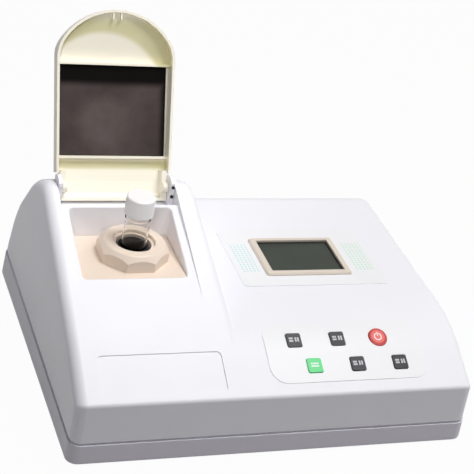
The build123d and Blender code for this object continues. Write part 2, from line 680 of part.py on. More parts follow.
def vial_collar():
    """The raised eight-sided collar: its corners are turned down to a round top edge."""
    blank = Rot(Z=22.5) * extrude(RegularPolygon(COLLAR_FLATS / 2, 8, major_radius=False), COLLAR_HEIGHT)
    corner = COLLAR_FLATS / 2 / cos(pi / 8) + 1
    top = COLLAR_FLATS / 2 - 3.0
    points = [(0, 0), (corner, 0), (corner, COLLAR_HEIGHT - 7.4), (top, COLLAR_HEIGHT), (0, COLLAR_HEIGHT)]
    half = make_face(FilletPolyline(*points, radius=[0, 0, 0, 3, 0], close=True).edges())
    blank &= revolve(Plane.XZ * half, Axis.Z, 360)
    blank -= Pos(Z=COLLAR_HEIGHT) * Cylinder(COLLAR_BORE, 2 * COLLAR_STEP)
    blank -= Pos(Z=COLLAR_HEIGHT) * Cylinder(COLLAR_THROAT, 3 * COLLAR_HEIGHT)
    circles = blank.edges().filter_by(GeomType.CIRCLE)
    rims = [edge for edge in circles if abs(edge.radius - COLLAR_BORE) < 0.01]
    blank = fillet(ShapeList(rims).sort_by(Axis.Z)[-1], COLLAR_SOFT)
    return Pos(VIAL_X, VIAL_Y, WELL_FLOOR) * blank


def cell_block():
    """The black block that guides the sleeve and carries the light path."""
    left, right = VIAL_X - BLOCK_X / 2, VIAL_X + BLOCK_X / 2
    block = box(left, right, VIAL_Y - BLOCK_Y / 2, VIAL_Y + BLOCK_Y / 2, BLOCK_BASE, PLATE_BOTTOM)
    block -= rod(VIAL_X, VIAL_Y, BORE_BOTTOM, FAR, SLEEVE_RADIUS + SLEEVE_FIT)
    block -= rod_x(left - 1, left + 11, VIAL_Y, BEAM_HEIGHT, LAMP_RADIUS)
    block -= rod_x(right - 9, right + 1, VIAL_Y, BEAM_HEIGHT, LAMP_RADIUS)
    return block - rod_x(left, right, VIAL_Y, BEAM_HEIGHT, BEAM_RADIUS - 1)


LAMP_RADIUS = 6.0


def light_source():
    """The lamp holder in the left end of the light path."""
    left = VIAL_X - BLOCK_X / 2
    lamp = rod_x(left - 9, left + 8.5, VIAL_Y, BEAM_HEIGHT, LAMP_RADIUS)
    lamp += rod_x(left - 2, left, VIAL_Y, BEAM_HEIGHT, 9)
    return lamp - rod_x(left + 3, left + 9, VIAL_Y, BEAM_HEIGHT, 4)


def source_lens():
    """The lens between the lamp and the vial, as flat as a window."""
    left = VIAL_X - BLOCK_X / 2
    return rod_x(left + 8.5, left + 11, VIAL_Y, BEAM_HEIGHT, LAMP_RADIUS - 0.05)


def optical_filter():
    """The filter glass on the receiving side."""
    right = VIAL_X + BLOCK_X / 2
    return rod_x(right - 9, right - 6, VIAL_Y, BEAM_HEIGHT, LAMP_RADIUS - 0.05)


def photodiode():
    """The can of the light sensor."""
    right = VIAL_X + BLOCK_X / 2
    return rod_x(right - 6, right, VIAL_Y, BEAM_HEIGHT, LAMP_RADIUS - 0.05)


def detector_board():
    """The small board behind the light sensor."""
    right = VIAL_X + BLOCK_X / 2
    face = right + BOARD_THICK
    board = box(right, face, VIAL_Y - 20, VIAL_Y + 20, BEAM_HEIGHT - 18, BEAM_HEIGHT + 18)
    chip = box(face, face + 1.4, VIAL_Y - 5, VIAL_Y + 5, BEAM_HEIGHT - 12, BEAM_HEIGHT - 4)
    return board + chip


def vial_sleeve():
    """The black sleeve the vial stands in, with windows where the light crosses."""
    sleeve = rod(VIAL_X, VIAL_Y, SLEEVE_BOTTOM, SLEEVE_TOP, SLEEVE_RADIUS)
    sleeve -= rod(VIAL_X, VIAL_Y, VIAL_BASE, FAR, VIAL_RADIUS + 0.3)
    return sleeve - rod_x(VIAL_X - 20, VIAL_X + 20, VIAL_Y, SLEEVE_BOTTOM + BEAM_RISE, BEAM_RADIUS)


def lift_spring():
    """The coil under the sleeve, drawn at its length with the lid open."""
    low, high = BORE_BOTTOM + SPRING_WIRE, SLEEVE_BOTTOM - SPRING_WIRE
    path = Helix(pitch=(high - low) / SPRING_TURNS, height=high - low, radius=SPRING_RADIUS)
    wire = sweep(Plane(origin=path @ 0, z_dir=path % 0) * Circle(SPRING_WIRE), path=path)
    return Pos(VIAL_X, VIAL_Y, low) * wire


VIAL_NECK = CAP_BASE - VIAL_BASE - 4.0
VIAL_TOP = CAP_BASE - VIAL_BASE + 12.0
SAMPLE_LEVEL = VIAL_NECK * 0.5
NECK_STEP = 2.5


def vial_form(radius, floor, top, corner):
    """A turned bottle: a round foot, a straight wall, a shoulder and a straight neck."""
    neck = radius - NECK_STEP
    points = [(0, floor), (radius, floor), (radius, VIAL_NECK), (neck, VIAL_NECK + 3), (neck, top), (0, top)]
    outline = FilletPolyline(*points, radius=[0, corner, corner, 1, 0, 0], close=True)
    return revolve(Plane.XZ * make_face(outline.edges()), Axis.Z, 360)


def vial_glass():
    """The round-shouldered sample vial."""
    hollow = vial_form(VIAL_RADIUS - VIAL_GLASS, VIAL_GLASS, VIAL_TOP + 1, 1)
    return Pos(VIAL_X, VIAL_Y, VIAL_BASE) * (vial_form(VIAL_RADIUS, 0, VIAL_TOP, 2) - hollow)


def vial_sample():
    """The liquid in the vial."""
    radius = VIAL_RADIUS - VIAL_GLASS
    drop = rod(VIAL_X, VIAL_Y, VIAL_BASE + VIAL_GLASS, VIAL_BASE + SAMPLE_LEVEL, radius)
    low = drop.edges().filter_by(GeomType.CIRCLE).sort_by(Axis.Z)[0]
    return fillet(low, 1)


def vial_cap():
    """The screw cap: plain sides, a rounded top edge and the space for the neck."""
    cap = rod(VIAL_X, VIAL_Y, CAP_BASE, CAP_TOP, CAP_RADIUS)
    cap = fillet(cap.edges().filter_by(GeomType.CIRCLE).sort_by(Axis.Z)[-1], 1.6)
    return cap - rod(VIAL_X, VIAL_Y, 0, VIAL_BASE + VIAL_TOP, VIAL_RADIUS - NECK_STEP + 0.05)


def lid_outline(inset, low, high):
    """The lid's plan outline, straight sides closed by a three-centred arch, carried up."""
    half, rise, corner = LID_WIDTH / 2 - inset, LID_TIP_RISE - inset, LID_CORNER - inset
    crown = (half**2 - 2 * half * corner + rise**2) / (2 * (rise - corner))
    spring = LID_SPRING
    bend = degrees(atan2(crown - rise, half - corner))
    arch = [
        CenterArc((half - corner, spring), corner, 0, bend),
        CenterArc((0, spring + rise - crown), crown, bend, 180 - 2 * bend),
        CenterArc((corner - half, spring), corner, 180 - bend, bend),
    ]
    tail = inset - LID_TAIL
    sides = Polyline((-half, spring), (-half, tail), (half, tail), (half, spring))
    face = make_face(arch[0].edges() + arch[1].edges() + arch[2].edges() + sides.edges())
    return Pos(Z=low) * extrude(face, high - low)


def lid_side(inset, side):
    """Everything inside one of the lid's long sides, which draw together towards the hinge."""
    half, top = side * (LID_WIDTH / 2 - inset), LID_HEIGHT - inset
    points = [(half, -20), (half, top), (-side * 80, top), (-side * 80, -20)]
    section = make_face(FilletPolyline(*points, radius=[0, LID_EDGE_ROUND - inset, 0, 0], close=True).edges())
    return Pos(Y=LID_SPRING) * Rot(Z=-side * LID_TAPER) * extrude(Plane.XZ * section, 300, both=True)


def lid_form(inset, low):
    """The lid's closed form down to a level, drawn in by the inset."""
    tail = [(-LID_TAIL, -12), (-LID_TAIL, LID_HEIGHT - 6), (4, LID_HEIGHT - 2.5)]
    top = [(24, LID_HEIGHT), (112, LID_HEIGHT)]
    tip = [(LID_REACH, LID_TIP_HEIGHT), (LID_REACH, -12)]
    arch = across(tail + top + tip, [0, 8, 0, 15, 40, 0, 0], -60, 60, inset)
    return lid_outline(inset, low, 40) & arch & lid_side(inset, -1) & lid_side(inset, 1)


def lid_shell():
    """The lid: a shallow pan with two cross ribs, tip ribs and hinge ears."""
    outer = lid_form(0, 0)
    pan = outer - lid_form(LID_WALL, -5)
    rib_low = LID_HEIGHT - LID_WALL - LID_RIB_DEPTH
    for y in (POCKET_LOW - LID_RIB, POCKET_HIGH):
        pan += box(-LID_WIDTH / 2, LID_WIDTH / 2, y, y + LID_RIB, rib_low, 30) & outer
    for x in (-3.5, 3.5):
        pan += box(x - 0.7, x + 0.7, LID_REACH - 8, LID_REACH - 1, 0.6, 30) & outer
    for side in (-1, 1):
        x0, x1 = sorted((side * EAR_FACE, side * FAR))
        pan -= box(x0, x1, -LID_TAIL - 1, NOTCH_REACH, -1, 30)
        x0, x1 = sorted((side * (EAR_FACE - EAR_THICK), side * EAR_FACE))
        pan += box(x0, x1, -LID_TAIL, NOTCH_REACH + LID_WALL, 0, 30) & outer
        pan += rod_x(x0, x1, 0, -RIM_RISE, EAR_RADIUS) - box(-FAR, FAR, -FAR, FAR, LID_HEIGHT / 2, FAR)
        x0, x1 = sorted((side * (EAR_FACE - PIN_GRIP), side * (EAR_FACE + 1)))
        pan -= rod_x(x0, x1, 0, -RIM_RISE, HINGE_PIN_RADIUS + HINGE_FIT)
    return LID_FRAME * pan


def lid_foam_pad():
    """The dark pad in the lid, between the cross ribs."""
    length = POCKET_HIGH - POCKET_LOW - 2 * PAD_GAP
    pad = plate(2 * PAD_HALF, length, PAD_FACE, PAD_FACE + PAD_THICK, 3)
    return LID_FRAME * (Pos(Y=(POCKET_LOW + POCKET_HIGH) / 2) * pad)


def hinge_bracket(side):
    """One of the two upright blocks that carry the hinge pins."""
    near = LID_X + side * (EAR_FACE + BRACKET_GAP)
    x0, x1 = sorted((near, near + side * BRACKET_WIDTH))
    front, back = AXIS_Y - BRACKET_FRONT, AXIS_Y + BRACKET_FRONT - 1
    block = box(x0, x1, front, back, AXIS_Z - TROUGH_DEPTH, AXIS_Z)
    block += rod_x(x0, x1, AXIS_Y, AXIS_Z, BRACKET_ROUND) & box(x0, x1, front, back, AXIS_Z, AXIS_Z + FAR)
    bore = sorted((near - side, near + side * PIN_GRIP))
    block -= rod_x(bore[0], bore[1], AXIS_Y, AXIS_Z, HINGE_PIN_RADIUS)
    middle = (x0 + x1) / 2
    for z in SCREW_LEVELS:
        block -= Pos(middle, front, AXIS_Z + z) * Rot(X=90) * Cylinder(0.9, 10)
    return block


SCREW_LEVELS = (4.4, -4.6)


def hinge_screws():
    """The small screws in the front of both brackets."""
    screws = []
    for side in (-1, 1):
        x = LID_X + side * (EAR_FACE + BRACKET_GAP + BRACKET_WIDTH / 2)
        for z in SCREW_LEVELS:
            head = Cylinder(1.4, 1.2) - Pos(Z=0.5) * Box(2.1, 0.5, 0.6)
            screw = Pos(Z=0.6) * head + Pos(Z=-2.5) * Cylinder(0.9, 5)
            screws.append(Pos(x, AXIS_Y - BRACKET_FRONT, AXIS_Z + z) * Rot(X=90) * screw)
    return Compound(children=screws)


def hinge_pins():
    """The two pins the lid turns on, each hidden in a bracket and an ear."""
    pins = []
    for side in (-1, 1):
        inner = LID_X + side * (EAR_FACE - PIN_GRIP + 0.3)
        outer = LID_X + side * (EAR_FACE + BRACKET_GAP + PIN_GRIP)
        x0, x1 = sorted((inner, outer))
        pins.append(rod_x(x0, x1, AXIS_Y, AXIS_Z, HINGE_PIN_RADIUS))
    return Compound(children=pins)


def display_bezel():
    """The frame round the display, with a bevelled edge and a skirt below."""
    flange = plate(BEZEL_X, BEZEL_Y, 0, BEZEL_RISE, 3)
    flange = chamfer(flange.faces().sort_by(Axis.Z)[-1].outer_wire().edges(), 1.4)
    skirt = plate(SKIRT_X - 0.6, SKIRT_Y - 0.6, DISPLAY_BOARD, 0, 2)
    frame = flange + skirt
    frame -= plate(GLASS_X, GLASS_Y, -20, 20, 1)
    frame -= plate(GLASS_X + 3, GLASS_Y + 3, -20, 0.6, 1)
    return DISPLAY_FRAME * frame


def display_window():
    """The clear window under the bezel."""
    return DISPLAY_FRAME * plate(GLASS_X + 2.6, GLASS_Y + 2.6, -1.4, 0.6, 1)


def lcd_panel():
    """The display module under the window."""
    return DISPLAY_FRAME * plate(GLASS_X + 2.6, GLASS_Y + 2.6, DISPLAY_BOARD, -1.4, 1)


def display_board():
    """The board under the display."""
    board = plate(98, 68, DISPLAY_BOARD - BOARD_THICK, DISPLAY_BOARD, 2)
    for x, y in DISPLAY_POSTS:
        board -= rod(x, y, -30, 30, 1.2)
    return DISPLAY_FRAME * board


def post_screws(spots, level, frame):
    """Small screws that hold a board up against its posts."""
    screws = []
    for x, y in spots:
        head = rod(x, y, level - BOARD_THICK - 1.4, level - BOARD_THICK, 2.2)
        screws.append(frame * (head + rod(x, y, level - BOARD_THICK, level + 4, 1)))
    return screws


def board_screws():
    """Every small screw that holds a board."""
    screws = post_screws(DISPLAY_POSTS, DISPLAY_BOARD, DISPLAY_FRAME)
    screws += post_screws(KEY_POSTS, KEY_BOARD, KEY_FRAME)
    for x, y in MAIN_POSTS + POWER_POSTS:
        head = rod(x, y, BOARD_LEVEL + BOARD_THICK, BOARD_LEVEL + BOARD_THICK + 1.4, 2.2)
        screws.append(head + rod(x, y, BOARD_LEVEL - 6, BOARD_LEVEL + BOARD_THICK, 1))
    return Compound(children=screws)


def printed_sheet(skin, x0, x1, y0, y1, radius):
    """A thin sheet that follows the console's surface."""
    return skin & rounded_block(x0, x1, y0, y1, NOSE_HEIGHT, HUMP_TOP, radius)


def display_overlay(skin):
    """The pale sheet round the display."""
    sheet = printed_sheet(skin, PANEL_LEFT, PANEL_RIGHT, PANEL_FRONT, PANEL_BACK, 4)
    return sheet - DISPLAY_FRAME * plate(BEZEL_X + 0.6, BEZEL_Y + 0.6, -9, 9, 3)


def keypad_overlay(skin):
    """The pale sheet round the keys."""
    sides = (PAD_SHEET_LEFT, PAD_SHEET_RIGHT, PAD_SHEET_FRONT, PAD_SHEET_BACK)
    sheet = printed_sheet(skin, *sides, PAD_SHEET_ROUND)
    return sheet - key_holes()


def key(x, y):
    """A square key with a retaining flange and a nub for its switch."""
    cap = plate(KEY_SIZE, KEY_SIZE, -KEY_STEM, KEY_RISE, 1.8)
    cap = chamfer(cap.faces().sort_by(Axis.Z)[-1].edges(), 0.35)
    cap += plate(KEY_SIZE + 2.4, KEY_SIZE + 2.4, -KEY_STEM, -KEY_STEM + 1.2, 1.8)
    return KEY_FRAME * (Pos(x, y) * (cap + rod(0, 0, -KEY_STEM - KEY_NUB, -KEY_STEM, 1.5)))


def power_button():
    """The round power key."""
    cap = rod(0, 0, -KEY_STEM, KEY_RISE, POWER_RADIUS)
    cap = chamfer(cap.edges().filter_by(GeomType.CIRCLE).sort_by(Axis.Z)[-1], 0.4)
    cap += rod(0, 0, -KEY_STEM, -KEY_STEM + 1.2, POWER_RADIUS + 1.2)
    return KEY_FRAME * (Pos(POWER_X, KEY_ROW) * (cap + rod(0, 0, -KEY_STEM - KEY_NUB, -KEY_STEM, 1.5)))


def keypad_board():
    """The board under the keys."""
    board = Pos(X=KEY_BOARD_X) * plate(KEY_BOARD_WIDE, KEY_BOARD_DEEP, KEY_BOARD - BOARD_THICK, KEY_BOARD, 2)
    for x, y in KEY_POSTS:
        board -= rod(x, y, -60, 60, 1.2)
    return KEY_FRAME * board


def key_switches():
    """Six small switches, one under each key."""
    spots = [(x, KEY_ROW) for x in BACK_KEYS + [POWER_X]] + [(x, -KEY_ROW) for x in FRONT_KEYS]
    bodies = [box(x - 3, x + 3, y - 3, y + 3, KEY_BOARD, SWITCH_TOP) for x, y in spots]
    return Compound(children=[KEY_FRAME * body for body in bodies])


def main_board():
    """The main board on its posts in the tray."""
    sides = (MAIN_LEFT, MAIN_RIGHT, MAIN_BOARD_FRONT, MAIN_BOARD_BACK)
    board = rounded_block(*sides, BOARD_LEVEL, BOARD_LEVEL + BOARD_THICK, 2)
    for x, y in MAIN_POSTS:
        board -= rod(x, y, 0, 60, 1.2)
    return board


def board_chips():
    """The larger parts on the main board."""
    top = BOARD_LEVEL + BOARD_THICK
    chips = [box(-20, -6, -40, -26, top, top + 1.6), box(-60, -50, -30, -14, top, top + 2)]
    chips += [box(14, 40, 6, 16, top, top + 9)] + [rod(x, -60, top, top + 12, 5) for x in (50, 34)]
    return Compound(children=[Pos(X=MAIN_X) * chip for chip in chips])


def power_module():
    """The mains module behind the main board."""
    top = BOARD_LEVEL + BOARD_THICK
    board = box(0, POWER_BOARD_WIDE, 0, POWER_BOARD_DEEP, BOARD_LEVEL, top)
    transformer = box(20, 46, 14, 44, top, top + 20)
    capacitor = rod(62, 24, top, top + 22, 8)
    board = Pos(POWER_X0, POWER_Y0) * (board + transformer + capacitor)
    for x, y in POWER_POSTS:
        board -= rod(x, y, 0, top + 1, 1.2)
    return board


def save(name, shape):
    """Lifts a piece onto its feet and writes it."""
    solids = [Pos(Z=FOOT_PROUD) * solid for solid in shape.solids()]
    export_step(solids[0] if len(solids) == 1 else Compound(solids), f"parts/{name}.step")


if __name__ == "__main__":
    os.makedirs("parts", exist_ok=True)
    outside = body()
    inside = body(WALL)
    groove = body(SEAM_DEPTH)
    skin = console(-SHEET) - console()
    save("upper_shell", upper_shell(outside, inside, groove))
    save("lower_shell", lower_shell(inside))
    save("rubber_feet", rubber_feet())
    save("base_screws", base_screws())
    save("well_floor_plate", well_floor_plate())
    save("vial_collar", vial_collar())
    save("cell_block", cell_block())
    save("light_source", light_source())
    save("source_lens", source_lens())
    save("optical_filter", optical_filter())
    save("photodiode", photodiode())
    save("detector_board", detector_board())
    save("vial_sleeve", vial_sleeve())
    save("lift_spring", lift_spring())
    save("vial_glass", vial_glass())
    save("vial_sample", vial_sample())
    save("vial_cap", vial_cap())
    save("lid_shell", lid_shell())
    save("lid_foam_pad", lid_foam_pad())
    save("hinge_bracket_left", hinge_bracket(-1))
    save("hinge_bracket_right", hinge_bracket(1))
    save("hinge_pins", hinge_pins())
    save("hinge_screws", hinge_screws())
    save("display_bezel", display_bezel())
    save("display_window", display_window())
    save("lcd_panel", lcd_panel())
    save("display_board", display_board())
    save("board_screws", board_screws())
    save("display_overlay", display_overlay(skin))
    save("keypad_overlay", keypad_overlay(skin))
    save("key_back_left", key(BACK_KEYS[0], KEY_ROW))
    save("key_back_middle", key(BACK_KEYS[1], KEY_ROW))
    save("power_button", power_button())
    save("key_green", key(FRONT_KEYS[0], -KEY_ROW))
    save("key_front_middle", key(FRONT_KEYS[1], -KEY_ROW))
    save("key_front_right", key(FRONT_KEYS[2], -KEY_ROW))
    save("keypad_board", keypad_board())
    save("key_switches", key_switches())
    save("main_board", main_board())
    save("board_chips", board_chips())
    save("power_module", power_module())
    save("power_inlet", power_inlet())
    save("data_port", data_port())
    print("lid closes by", round(CLOSING_ANGLE, 3), "degrees; sleeve sinks", SLEEVE_DROP)
    print("hinge axis y", AXIS_Y, "z", round(AXIS_Z + FOOT_PROUD, 4), "key tilt", round(degrees(KEY_TILT), 3))
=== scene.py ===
# %% [markdown]
# # A bench analyser for chemical oxygen demand
# The real instrument is a two-part plastic housing. On its left a hump carries a long
# lid, photographed open, over a well where a capped vial stands in a raised collar.
# On its right is a console with a display and six keys. The solids come from the CAD
# model, in metres, so this file gives them their finishes, adds the soft pad, the
# spring and the printed marks, and sets the light and the camera.

# %% Load the solids
import bpy
import numpy as np
from math import cos, pi, radians, sin
from mathutils import Matrix, Vector


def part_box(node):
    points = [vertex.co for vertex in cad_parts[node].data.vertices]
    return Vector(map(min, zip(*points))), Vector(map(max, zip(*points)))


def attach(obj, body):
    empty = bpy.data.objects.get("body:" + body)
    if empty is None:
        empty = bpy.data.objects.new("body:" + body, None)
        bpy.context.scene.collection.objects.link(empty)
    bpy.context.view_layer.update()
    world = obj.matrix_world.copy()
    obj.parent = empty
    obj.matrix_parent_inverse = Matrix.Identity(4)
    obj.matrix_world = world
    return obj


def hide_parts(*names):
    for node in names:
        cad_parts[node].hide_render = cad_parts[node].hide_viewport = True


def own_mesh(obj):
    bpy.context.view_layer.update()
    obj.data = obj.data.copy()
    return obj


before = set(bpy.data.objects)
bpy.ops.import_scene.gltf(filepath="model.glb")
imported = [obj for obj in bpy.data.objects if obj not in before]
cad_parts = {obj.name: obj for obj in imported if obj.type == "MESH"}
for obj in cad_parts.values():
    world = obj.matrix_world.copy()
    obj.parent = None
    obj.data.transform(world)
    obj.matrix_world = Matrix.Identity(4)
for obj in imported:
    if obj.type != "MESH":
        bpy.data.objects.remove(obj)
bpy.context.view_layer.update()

# %% [markdown]
# ## The camera
# The photo was taken from the front left, about thirty degrees above the bench, with
# the camera rolled by twelve degrees. Its place and lens were fitted to the edges that
# the photo shows. A camera looks along its own -Z, so its matrix has the picture's
# right, the picture's up and the way back to the lens as its columns.

# %% Camera at the photo's place
CAMERA_PLACE = Vector((-0.4613, -0.9943, 0.7457))
CAMERA_YAW = 0.4265
CAMERA_PITCH = 0.5183
CAMERA_ROLL = 0.2112
FOCAL_IN_PICTURE_WIDTHS = 1467.8 / 474
SENSOR_WIDTH = 36


def put_in_scene(name, data):
    """Makes an object of a camera, a lamp or a mesh, and links it to the scene."""
    made = bpy.data.objects.new(name, data)
    bpy.context.scene.collection.objects.link(made)
    return made


forwards, down = cos(CAMERA_PITCH), sin(CAMERA_PITCH)
ahead = Vector((sin(CAMERA_YAW) * forwards, cos(CAMERA_YAW) * forwards, -down))
level = Vector((cos(CAMERA_YAW), -sin(CAMERA_YAW), 0))
upright = level.cross(ahead)
right = cos(CAMERA_ROLL) * level + sin(CAMERA_ROLL) * upright
up = cos(CAMERA_ROLL) * upright - sin(CAMERA_ROLL) * level
lens = bpy.data.cameras.new("photo_lens")
lens.sensor_width = SENSOR_WIDTH
lens.lens = SENSOR_WIDTH * FOCAL_IN_PICTURE_WIDTHS
lens.clip_start = 0.01
camera = put_in_scene("photo_camera", lens)
camera.matrix_world = Matrix.Translation(CAMERA_PLACE) @ Matrix((right, up, -ahead)).transposed().to_4x4()
bpy.context.scene.camera = camera
print("lens", round(lens.lens, 1), "mm")

# %% [markdown]
# ## Light
# In the photo the tops and the hump's right wall are nearly white, and the front and
# the left side are a middle grey, so most of the light comes down from a soft source
# above and to the right. A weaker one fills in from the right, a small one in front
# reaches into the open lid and the well, and the rest is the dim room. A soft lamp is
# a square that shines from its whole face; the small one is a spot that fades from its
# middle to its edge, so that no ring of light shows on the lid.

# %% Lamps
def hang(name, lamp, place, aim, power):
    """Hangs a lamp, which shines along its own -Z, so that it faces a point."""
    lamp.energy = power
    away = (Vector(place) - Vector(aim)).normalized()
    turned = away.to_track_quat("Z", "Y").to_matrix().to_4x4()
    holder = put_in_scene(name, lamp)
    holder.matrix_world = Matrix.Translation(place) @ turned
    return holder


def soft_box(name, place, aim, size, power):
    """A square lamp of that size in metres."""
    lamp = bpy.data.lights.new(name, "AREA")
    lamp.shape = "SQUARE"
    lamp.size = size
    return hang(name, lamp, place, aim, power)


def snoot(name, place, aim, half_angle, radius, power):
    """A lamp that lights one round patch, so many degrees from its middle to its edge."""
    lamp = bpy.data.lights.new(name, "SPOT")
    lamp.spot_size = 2 * radians(half_angle)
    lamp.spot_blend = 1.0
    lamp.shadow_soft_size = radius
    return hang(name, lamp, place, aim, power)


lamps = [
    soft_box("top_lamp", (0.35, -0.2, 1.85), (-0.05, 0, 0.1), 0.8, 24),
    soft_box("side_lamp", (1.8, 0.0, 1.3), (0, 0, 0.1), 1.2, 6.5),
    snoot("lid_lamp", (-0.5, -0.8, 0.85), (-0.1, 0.08, 0.2), 10, 0.1, 17),
]
print(len(lamps), "lamps")

# %% [markdown]
# ## Shader arithmetic
# A finish is a small calculation: a colour is mixed by a noise, a print is a mask
# made of distances. Written as node links this is hard to read, so one class wraps a
# socket and turns Python's operators into Math nodes.

# %% A socket that can be added and multiplied
class Value:
    """A number that flows through a finish; its operators add Math nodes."""

    def __init__(self, finish, socket):
        self.finish, self.socket = finish, socket

    def math(self, operation, *others):
        inputs = dict(enumerate((self, *others)))
        return self.finish.node("ShaderNodeMath", {"operation": operation}, inputs)

    def __add__(self, other):
        return self.math("ADD", other)

    def __sub__(self, other):
        return self.math("SUBTRACT", other)

    def __mul__(self, other):
        return self.math("MULTIPLY", other)

    def __truediv__(self, other):
        return self.math("DIVIDE", other)

    def __rsub__(self, other):
        return self.finish.node("ShaderNodeMath", {"operation": "SUBTRACT"}, {0: other, 1: self})

    __radd__ = __add__
    __rmul__ = __mul__

    def at_least(self, other):
        return self.math("MAXIMUM", other)

    def at_most(self, other):
        return self.math("MINIMUM", other)

    def size(self):
        return self.math("ABSOLUTE")

    def step(self, edge, soft, before, after):
        """Goes from one number to another at an edge, over a soft width to each side."""
        inputs = {"Value": self, "From Min": edge - soft, "From Max": edge + soft,
                  "To Min": before, "To Max": after}
        return self.finish.node("ShaderNodeMapRange", {"interpolation_type": "SMOOTHSTEP"}, inputs)

    def below(self, edge, soft):
        """1 well below the edge and 0 well above it."""
        return self.step(edge, soft, 1.0, 0.0)

    def above(self, edge, soft):
        """0 well below the edge and 1 well above it."""
        return self.step(edge, soft, 0.0, 1.0)


def reach(u, v):
    """How far a point of a plane lies from where u and v are both 0."""
    return (u * u + v * v).math("SQRT")


# %% [markdown]
# ## A finish
# A finish is one material with one Principled shader. Its numbers that stay the same
# all over are set on the shader, and what changes over the surface is linked to it.
# Patterns start from Object coordinates, which are the same metres as the CAD's.

# %% A finish and its nodes
class Finish:
    """A material built from nodes, with one Principled shader."""

    def __init__(self, name, **constants):
        self.material = bpy.data.materials.new(name)
        self.material.use_nodes = True
        self.tree = self.material.node_tree
        self.shader = self.tree.nodes["Principled BSDF"]
        for socket, value in constants.items():
            self.shader.inputs[socket.replace("_", " ")].default_value = value
        self.place = self.node("ShaderNodeTexCoord", {}, {}, "Object")

    def node(self, kind, settings, values, output=0):
        """Adds a node: its settings first, then a value or a link for each socket."""
        made = self.tree.nodes.new(kind)
        for key, value in settings.items():
            setattr(made, key, value)
        for key, value in values.items():
            if isinstance(value, Value):
                self.tree.links.new(value.socket, made.inputs[key])
            else:
                made.inputs[key].default_value = value
        return Value(self, made.outputs[output])

    def feed(self, socket, value):
        """Links a value to the shader."""
        self.tree.links.new(value.socket, self.shader.inputs[socket])

    def noise(self, scale, detail=2.0, roughness=0.5):
        """Noise from 0 to 1, so many waves to the metre."""
        inputs = {"Vector": self.place, "Scale": scale, "Detail": detail, "Roughness": roughness}
        return self.node("ShaderNodeTexNoise", {}, inputs)

    def mix(self, share, first, second):
        """A colour between two, by a share from 0 to 1."""
        sockets = {0: share, 6: first, 7: second}
        whole = {key: (*value, 1) if isinstance(value, tuple) else value for key, value in sockets.items()}
        return self.node("ShaderNodeMix", {"data_type": "RGBA"}, whole, 2)

    def lay_over(self, mask, colour):
        """Covers the colour that is there with another one, where the mask is 1."""
        there = Value(self, self.shader.inputs["Base Color"].links[0].from_socket)
        self.feed("Base Color", self.mix(mask, there, colour))

    def bump(self, height, distance, strength=1.0):
        """Turns a height from 0 to 1 into a normal; distance is in metres."""
        inputs = {"Strength": strength, "Distance": distance, "Height": height}
        self.feed("Normal", self.node("ShaderNodeBump", {}, inputs))

    def parts(self, vector):
        """The x, y and z of a vector."""
        separate = self.node("ShaderNodeSeparateXYZ", {}, {0: vector}).socket.node
        return [Value(self, output) for output in separate.outputs]

    def axes(self):
        """The x, y and z of the place, in metres."""
        return self.parts(self.place)

    def facing(self):
        """The x, y and z of the way that the surface faces."""
        return self.parts(self.node("ShaderNodeTexCoord", {}, {}, "Normal"))


def linear(red, green, blue):
    """A screen colour from 0 to 255 as the light it stands for."""
    share = np.array([red, green, blue]) / 255
    light = np.where(share <= 0.04045, share / 12.92, ((share + 0.055) / 1.055) ** 2.4)
    return tuple(light.tolist())


def wear(finish, nodes):
    """Gives a finish to these solids."""
    for name in nodes:
        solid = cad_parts[name]
        solid.data.materials.clear()
        solid.data.materials.append(finish.material)
    print(finish.material.name, "on", len(nodes), "solids")


# %% [markdown]
# ## Moulded plastic
# The housing is a pale grey plastic with a fine spark-eroded texture. Up close it is a
# field of soft grains about a third of a millimetre across; from a step away it only
# softens the reflections. Handling leaves the gloss a little uneven. One function makes
# all the plastics here, since they differ only in colour, gloss and grain.

# %% Moulded plastic
DRIFT_WAVES, HANDLING_WAVES = 9, 22
FINE_GRAIN = 2600
GLOSS_SPREAD = 0.16


def moulded_plastic(name, colour, tint, roughness, depth, grain=FINE_GRAIN):
    """Plastic whose screen colour drifts slightly towards a tint, with grains of a depth in metres."""
    plastic = Finish(name, Specular_IOR_Level=0.4)
    drift = plastic.noise(DRIFT_WAVES, 3)
    plastic.feed("Base Color", plastic.mix(drift, linear(*colour), linear(*tint)))
    handled = plastic.noise(HANDLING_WAVES, 4, 0.6)
    plastic.feed("Roughness", handled * GLOSS_SPREAD + (roughness - GLOSS_SPREAD / 2))
    plastic.bump(plastic.noise(grain, 3, 0.6), depth)
    return plastic


housing = moulded_plastic("housing_plastic", (241, 241, 247), (244, 243, 248), 0.42, 0.00004)
tray = moulded_plastic("tray_plastic", (220, 217, 225), (224, 221, 229), 0.45, 0.00004)
beige = moulded_plastic("beige_plastic", (240, 224, 209), (236, 218, 201), 0.4, 0.00003, grain=2400)
bezel = moulded_plastic("bezel_plastic", (228, 216, 203), (222, 211, 197), 0.35, 0.00002)
cap = moulded_plastic("cap_plastic", (250, 247, 246), (245, 242, 242), 0.3, 0.00002, grain=1800)
black = moulded_plastic("black_plastic", (28, 27, 26), (36, 34, 33), 0.5, 0.00003)
dull_black = moulded_plastic("sleeve_plastic", (14, 12, 14), (20, 17, 19), 0.7, 0.00003)
wear(housing, ["upper_shell", "hinge_bracket_left", "hinge_bracket_right"])
wear(tray, ["lower_shell"])
wear(beige, ["well_floor_plate", "vial_collar"])
wear(bezel, ["display_bezel"])
wear(cap, ["vial_cap"])
wear(black, ["cell_block", "light_source", "power_inlet", "photodiode"])
wear(dull_black, ["vial_sleeve"])

# %% [markdown]
# ## The lid's own plane
# The open lid leans back by 25 degrees, and the marks inside it, like the pad, follow
# its plane. Three distances from the pad's middle describe a point there: across the
# lid, up its slope, and out of its plane towards the person who stands in front.

